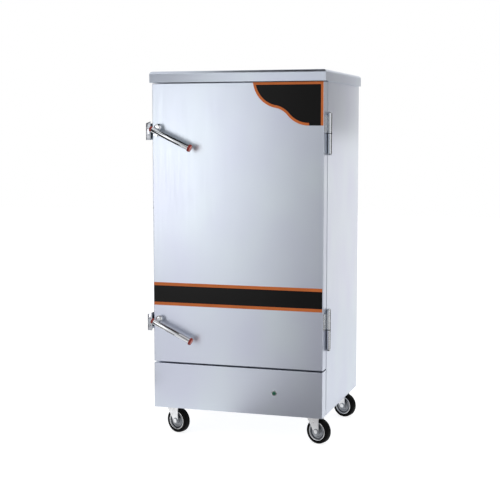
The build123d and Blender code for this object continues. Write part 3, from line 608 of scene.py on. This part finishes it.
class CABINET_OT_latches(bpy.types.Operator):
    """Bar latches, their studs and the strikes that they hook behind"""
    bl_idname = "cabinet.latches"
    bl_label = "Latches"

    def execute(self, context):
        colours = context.scene.cabinet_colours
        chrome = chrome_plate()
        steel = bright_steel("turned_stainless_studs", colours.bright)
        # The second red is a paler copy of the first, for the painted highlight on the far caps' ends
        reds = [moulded_plastic("moulded_red_abs", colours.red, 0.3, **{"Specular IOR Level": 0.3}),
                moulded_plastic("moulded_red_abs_painted_highlight", colours.red_painted_highlight, 0.35)]
        pressed = bright_steel("pressed_stainless_strike", colours.strike)
        self.strike([Vector(joints[f"latch_{name}_turn"]["pos_m"]) / MM for name in LATCHES], pressed)
        for name in LATCHES:
            dress(chrome, f"latch_hub_{name}")
            self.handle(name, chrome, reds)
        dress(steel, "latch_studs")
        return {"FINISHED"}

    def handle(self, name, chrome, reds):
        """A hollow tube on a tilted bar, with a flat cap at its near end and a flanged one at its far end."""
        pivot = Vector(joints[f"latch_{name}_turn"]["pos_m"]) / MM
        face = low_high("door_shell")[0].y
        leaning = Matrix.Translation((pivot.x, face, pivot.z)) @ Matrix.Rotation(BAR_LEAN, 4, "Y")
        bar = leaning @ Matrix.Translation((0, -BAR_REACH, -BAR_DROP)) @ Matrix.Rotation(math.pi / 2, 4, "Y")
        tube = turned([(TUBE_BORE, TUBE_NEAR), (TUBE_RADIUS, TUBE_NEAR), (TUBE_RADIUS, TUBE_FAR),
                       (TUBE_BORE, TUBE_FAR)], closed=True)
        round_edges(tube, 0.4, 2)
        piece(f"handle_tube_{name}", tube, chrome, f"latch_{name}", [f"latch_tube_{name}"], bar)
        caps = turned(FAR_CAP)
        join(caps, turned(NEAR_CAP))
        # The far cap's domed end, within the disc, takes the paler red: a painted highlight
        for part in caps.faces:
            centre = part.calc_center_median()
            part.material_index = int(centre.z > HIGHLIGHT_DISC_HEIGHT and centre.xy.length < HIGHLIGHT_DISC_RADIUS)
        piece(f"handle_caps_{name}", caps, reds, f"latch_{name}", [f"latch_caps_{name}"], bar)

    def strike(self, pivots, steel):
        """Folded sheet hooks, one for each latch, with rounded folds and a top that slants to the left."""
        low, high = low_high("strikes")
        half = STRIKE_SHEET / 2
        outer, inner = low.x + half, high.x - half
        front, rear = low.y + half, high.y
        back = front + STRIKE_DEPTH
        path = [(inner, front), (outer, front), (outer, back), (inner, back), (inner, rear)]
        slant = Vector((-STRIKE_FALL, 0, high.x - low.x)).normalized()
        hooks = bmesh.new()
        for pivot in pivots:
            bm = bmesh.new()
            points = [bm.verts.new((x, y, pivot.z - STRIKE_BELOW)) for x, y in path]
            wires = [bm.edges.new(pair) for pair in zip(points, points[1:])]
            made = bmesh.ops.extrude_edge_only(bm, edges=wires)
            raised = [item for item in made["geom"] if isinstance(item, bmesh.types.BMVert)]
            bmesh.ops.translate(bm, vec=(0, 0, STRIKE_BELOW + STRIKE_ABOVE), verts=raised)
            folds = [edge for edge in bm.edges if edge.is_manifold]
            bmesh.ops.bevel(bm, geom=folds, offset=STRIKE_SHEET, offset_type="OFFSET", segments=4,
                            profile=0.5, affect="EDGES", material=-1)
            corner = (inner + half, 0, pivot.z + STRIKE_ABOVE)
            bmesh.ops.bisect_plane(bm, geom=bm.verts[:] + bm.edges[:] + bm.faces[:], plane_co=corner,
                                   plane_no=slant, clear_outer=True)
            bmesh.ops.recalc_face_normals(bm, faces=bm.faces)
            bmesh.ops.solidify(bm, geom=bm.faces[:], thickness=STRIKE_SHEET)
            # The sheet thickens to one side of its path, so its outer faces are moved onto the strike's box
            left = min(vert.co.x for vert in bm.verts)
            nearest = min(vert.co.y for vert in bm.verts)
            bmesh.ops.translate(bm, vec=(low.x - left, low.y - nearest, 0), verts=bm.verts)
            join(hooks, bm)
        tidy(hooks)
        round_edges(hooks, 0.4, 2, 50)
        piece("strike_hooks", hooks, steel, "cabinet", ["strikes"])


class CABINET_OT_screws(bpy.types.Operator):
    """Pan-head screws of the strikes and the back panel"""
    bl_idname = "cabinet.screws"
    bl_label = "Screws"

    def execute(self, context):
        screws = bmesh.new()
        for low, high in solid_boxes("casing_screws"):
            middle = (low + high) / 2
            front = middle.y < 0
            tip = low.y if front else high.y
            radius = (high.x - low.x) / 2
            head = pan_head(radius, SCREW_HEAD, SCREW_CROSS)
            join(head, turned([(0, -2), (SCREW_SHANK, -2), (SCREW_SHANK, 0.2), (0, 0.2)], steps=24))
            way = "-y" if front else "y"
            seat = tip + SCREW_HEAD if front else tip - SCREW_HEAD
            join(screws, head, along(way, (middle.x, seat, middle.z), SCREW_TURN))
        steel = bright_steel("stainless_screws", context.scene.cabinet_colours.strike)
        piece("pan_head_screws", screws, steel, "cabinet", ["casing_screws"])
        return {"FINISHED"}


class CABINET_OT_hinges(bpy.types.Operator):
    """Lift-off hinges, their domed ends and the washers between their knuckles"""
    bl_idname = "cabinet.hinges"
    bl_label = "Hinges"

    def execute(self, context):
        colours = context.scene.cabinet_colours
        steel = bright_steel("drawn_stainless_hinges", colours.bright)
        dress(steel, "hinge_door_leaves", "hinge_body_leaves", "hinge_pins")
        axis = Vector(joints["door_swing"]["pos_m"]) / MM
        tops, feet, washers = bmesh.new(), bmesh.new(), bmesh.new()
        for low, high in solid_boxes("hinge_door_leaves"):
            radius = high.x - axis.x
            join(tops, self.dome(radius), along("z", (axis.x, axis.y, high.z)))
            join(washers, self.washer(radius), along("z", (axis.x, axis.y, low.z)))
        for low, high in solid_boxes("hinge_body_leaves"):
            join(feet, self.dome(high.x - axis.x), along("-z", (axis.x, axis.y, low.z)))
        piece("hinge_top_caps", tops, steel, "door")
        piece("hinge_foot_caps", feet, steel, "cabinet")
        dark = moulded_plastic("black_nylon_washers", colours.dark_plastic, 0.5)
        piece("hinge_washers", washers, dark, "cabinet")
        return {"FINISHED"}

    def dome(self, radius):
        """The low domed end of a knuckle with this radius, up along Z from 0."""
        outline = [(0, -0.1), (radius, -0.1), (radius * 0.93, 1.4), (radius * 0.7, 2.4), (0, 2.8)]
        return turned(outline, steps=32)

    def washer(self, radius):
        """A ring that stands a little proud of knuckles with this radius, its middle at Z 0."""
        bore, rim, half = 5.4, radius + 0.35, 1.4
        return turned([(bore, -half), (rim, -half), (rim, half), (bore, half)], closed=True, steps=32)


class CABINET_OT_casters(bpy.types.Operator):
    """Swivel casters, the wheels with their tyres and the ends of the axles"""
    bl_idname = "cabinet.casters"
    bl_label = "Casters"

    def execute(self, context):
        colours = context.scene.cabinet_colours
        zinc = zinc_plate("bright_zinc_plate", colours.zinc)
        dark = zinc_plate("dull_zinc_plate", colours.wheel)
        rubber = tyre_rubber()
        dress(zinc, "caster_plates", "caster_bolts")
        for name in CASTERS:
            dress(zinc, f"fork_{name}")
            joint = joints[f"wheel_{name}_spin"]
            centre = Vector(joint["pos_m"]) / MM
            axle = Vector(joint["axis"]).to_track_quat("Z", "X").to_matrix().to_4x4()
            place = Matrix.Translation(centre) @ axle
            self.wheel(name, place, [dark, zinc], rubber)
            self.bolt(name, place, [zinc, dark])
        return {"FINISHED"}

    def bolt(self, name, place, finishes):
        """A hexagon head, and a nut opposite, each on a grey washer, over the ends of the axle."""
        both = bmesh.new()
        turns = [math.pi * k / 3 for k in range(6)]
        corners = [(NUT_RADIUS * math.cos(turn), NUT_RADIUS * math.sin(turn)) for turn in turns]
        for way in ("z", "-z"):
            end = turned([(0, WASHER_FOOT), (WASHER_RADIUS, WASHER_FOOT), (WASHER_RADIUS, WASHER_TOP),
                          (0, WASHER_TOP)], steps=32)
            head = plate(corners, NUT_HEIGHT)
            round_edges(head, 0.6, 2)
            for face in end.faces:
                face.material_index = 1
            join(end, head, along("z", (0, 0, NUT_SEAT)))
            join(both, end, along(way, (0, 0, 0)))
        piece(f"axle_nuts_{name}", both, finishes, f"swivel_{name}", place=place)

    def wheel(self, name, place, finishes, rubber):
        """A pressed disc wheel with a dished face and a bead, in a rubber tyre with a stepped side."""
        rim = turned(both_sides(RIM_SIDE), closed=True, steps=72)
        # The pale zinc on the outer lip is a painted highlight; the dish keeps the darker wheel zinc
        for face in rim.faces:
            face.material_index = int(face.calc_center_median().xy.length > LIP_HIGHLIGHT_RADIUS)
        piece(f"wheel_rim_{name}", rim, finishes, f"wheel_{name}", [f"rim_{name}"], place)
        tyre = turned(both_sides(TYRE_SIDE), closed=True, steps=96)
        piece(f"wheel_tyre_{name}", tyre, rubber, f"wheel_{name}", [f"tyre_{name}"], place, smooth=60)


class CABINET_OT_chamber(bpy.types.Operator):
    """Cooking chamber, tray supports and steam baffle"""
    bl_idname = "cabinet.chamber"
    bl_label = "Chamber"

    def execute(self, context):
        steel = satin_steel("satin_stainless_liner")
        dress(steel, "chamber_liner", "tray_uprights", "tray_runners", "steam_baffle")
        return {"FINISHED"}


class CABINET_OT_water(bpy.types.Operator):
    """Tank, heating elements, float valve, water inlet, drain and vent"""
    bl_idname = "cabinet.water"
    bl_label = "Water and steam"

    def execute(self, context):
        colours = context.scene.cabinet_colours
        brass = turned_brass()
        steel = bright_steel("drawn_stainless_pipes", colours.bright)
        dress(satin_steel("satin_stainless_tank"), "water_tank")
        dress(steel, "heating_elements", "vent_pipe")
        dress(brass, "water_inlet", "float_valve", "drain_valve")
        dress(moulded_plastic("moulded_polypropylene", colours.float_shell, 0.45), "float_arm")
        dress(moulded_plastic("dipped_vinyl", colours.lever, 0.4), "drain_lever")
        return {"FINISHED"}


class CABINET_OT_electrics(bpy.types.Operator):
    """Cable gland, electrical box and indicator lamp"""
    bl_idname = "cabinet.electrics"
    bl_label = "Electrical parts"

    def execute(self, context):
        colours = context.scene.cabinet_colours
        dress(moulded_plastic("moulded_black_nylon", colours.dark_plastic, 0.5), "cable_gland", "switchgear")
        dress(zinc_plate("zinc_plate_box", colours.zinc), "electrical_box")
        dress(chrome_plate(), "indicator_bezel")
        dress(moulded_plastic("green_acrylic_lens", colours.lamp, 0.08), "indicator_lens")
        return {"FINISHED"}


class CABINET_OT_studio(bpy.types.Operator):
    """Floor, soft lights, background and camera"""
    bl_idname = "cabinet.studio"
    bl_label = "Studio"

    def execute(self, context):
        scene = context.scene
        studio = scene.cabinet_studio
        scene.view_settings.view_transform = "Standard"
        self.floor()
        self.world(scene)
        self.softbox("key", (-2.0, -3.0, 2.6), (-0.1, -0.3, 0.8), (2.4, 2.4), studio.key_power)
        self.softbox("fill", (3.4, -1.2, 2.2), (0.3, 0, 0.8), (1.5, 2.0), studio.fill_power)
        for name, place, way, size, shade in CARDS:
            self.card(name, place, way, size, shade)
        camera = bpy.data.cameras.new("camera")
        camera.lens = studio.lens
        camera.clip_end = 60
        stand = bpy.data.objects.new("camera", camera)
        stand.location = studio.camera_place
        stand.rotation_euler = (math.pi / 2 - studio.pitch, 0, studio.yaw)
        scene.collection.objects.link(stand)
        scene.camera = stand
        return {"FINISHED"}

    def softbox(self, name, place, target, size, power):
        """A soft light with this width and height, at a place and turned to its target."""
        light = bpy.data.lights.new(name, "AREA")
        light.shape = "RECTANGLE"
        light.size, light.size_y = size
        light.energy = power
        lamp = bpy.data.objects.new(name, light)
        lamp.location = place
        lamp.rotation_euler = (Vector(place) - Vector(target)).to_track_quat("Z", "Y").to_euler()
        bpy.context.scene.collection.objects.link(lamp)

    def card(self, name, place, way, size, shade):
        """A plain flat card, in a very slightly warm grey, that only shiny finishes mirror."""
        bm = bmesh.new()
        bmesh.ops.create_grid(bm, x_segments=1, y_segments=1, size=0.5)
        turn = {"y": Matrix.Rotation(math.pi / 2, 4, "X"), "z": Matrix.Identity(4),
                "x": Matrix.Rotation(math.pi / 2, 4, "Y")}[way]
        bmesh.ops.scale(bm, vec=(size[0], size[1], 1), verts=bm.verts)
        bmesh.ops.transform(bm, matrix=Matrix.Translation(place) @ turn, verts=bm.verts)
        mesh = bpy.data.meshes.new(name)
        bm.to_mesh(mesh)
        bm.free()
        material = bpy.data.materials.new(name)
        material.use_nodes = True
        tree = material.node_tree
        tree.nodes.clear()
        glow = add(tree, "Emission", {"Color": (shade, shade * 0.97, shade * 0.97, 1), "Strength": 1.0})
        add(tree, "OutputMaterial", {"Surface": glow.outputs[0]})
        mesh.materials.append(material)
        made = bpy.data.objects.new(name, mesh)
        for hidden in ("camera", "diffuse", "shadow", "transmission", "volume_scatter"):
            setattr(made, "visible_" + hidden, False)
        bpy.context.scene.collection.objects.link(made)

    def shown_rays(self, tree):
        """1 for the rays that show the background: straight to the camera, mirrored or through glass."""
        rays = add(tree, "LightPath").outputs
        either = {0: rays["Is Camera Ray"], 1: rays["Is Glossy Ray"]}
        mirrored = add(tree, "Math", either, operation="MAXIMUM").outputs[0]
        through = {0: mirrored, 1: rays["Is Transmission Ray"]}
        return add(tree, "Math", through, operation="MAXIMUM").outputs[0]

    def world(self, scene):
        """A white background, whose light on the object has a strength of its own."""
        world = bpy.data.worlds.new("studio")
        scene.world = world
        world.use_nodes = True
        tree = world.node_tree
        tree.nodes.clear()
        range_of_light = {"Value": self.shown_rays(tree), "To Min": scene.cabinet_studio.sky, "To Max": 1.0}
        strength = add(tree, "MapRange", range_of_light).outputs[0]
        backdrop = add(tree, "Background", {"Color": (1, 1, 1, 1), "Strength": strength})
        add(tree, "OutputWorld", {"Surface": backdrop.outputs[0]})

    def floor(self):
        """A matt grey floor that takes the shadows, lifted to near white where it shows or is mirrored."""
        bm = bmesh.new()
        bmesh.ops.create_grid(bm, x_segments=1, y_segments=1, size=12)
        mesh = bpy.data.meshes.new("floor")
        bm.to_mesh(mesh)
        bm.free()
        material = bpy.data.materials.new("pale_floor")
        material.use_nodes = True
        tree = material.node_tree
        tree.nodes.clear()
        matt = add(tree, "BsdfDiffuse", {"Color": (0.45, 0.45, 0.45, 1)})
        lift = add(tree, "Math", {0: self.shown_rays(tree), 1: 0.8}, operation="MULTIPLY")
        glow = add(tree, "Emission", {"Strength": lift.outputs[0]})
        both = add(tree, "AddShader", {0: matt.outputs[0], 1: glow.outputs[0]})
        add(tree, "OutputMaterial", {"Surface": both.outputs[0]})
        mesh.materials.append(material)
        floor = bpy.data.objects.new("floor", mesh)
        bpy.context.scene.collection.objects.link(floor)


class CABINET_PT_panel(bpy.types.Panel):
    """Lists the steps that dress the cabinet"""
    bl_idname = "CABINET_PT_panel"
    bl_label = "Steaming cabinet"
    bl_space_type = "VIEW_3D"
    bl_region_type = "UI"
    bl_category = "Cabinet"

    def draw(self, context):
        for step in STEPS:
            self.layout.operator(step.bl_idname)


STEPS = (CABINET_OT_casing, CABINET_OT_door, CABINET_OT_trim, CABINET_OT_latches, CABINET_OT_screws,
         CABINET_OT_hinges, CABINET_OT_casters, CABINET_OT_chamber, CABINET_OT_water,
         CABINET_OT_electrics, CABINET_OT_studio)
GROUPS = {"cabinet_colours": CabinetColours, "cabinet_sizes": CabinetSizes, "cabinet_studio": CabinetStudio}


def register():
    for group in GROUPS.values():
        bpy.utils.register_class(group)
    for name, group in GROUPS.items():
        setattr(bpy.types.Scene, name, PointerProperty(type=group))
    for step in STEPS:
        bpy.utils.register_class(step)
    bpy.utils.register_class(CABINET_PT_panel)


def unregister():
    bpy.utils.unregister_class(CABINET_PT_panel)
    for step in reversed(STEPS):
        bpy.utils.unregister_class(step)
    for name, group in reversed(GROUPS.items()):
        delattr(bpy.types.Scene, name)
        bpy.utils.unregister_class(group)


def main():
    register()
    for step in STEPS:
        group, name = step.bl_idname.split(".")
        getattr(getattr(bpy.ops, group), name)()


if __name__ == "__main__":
    main()
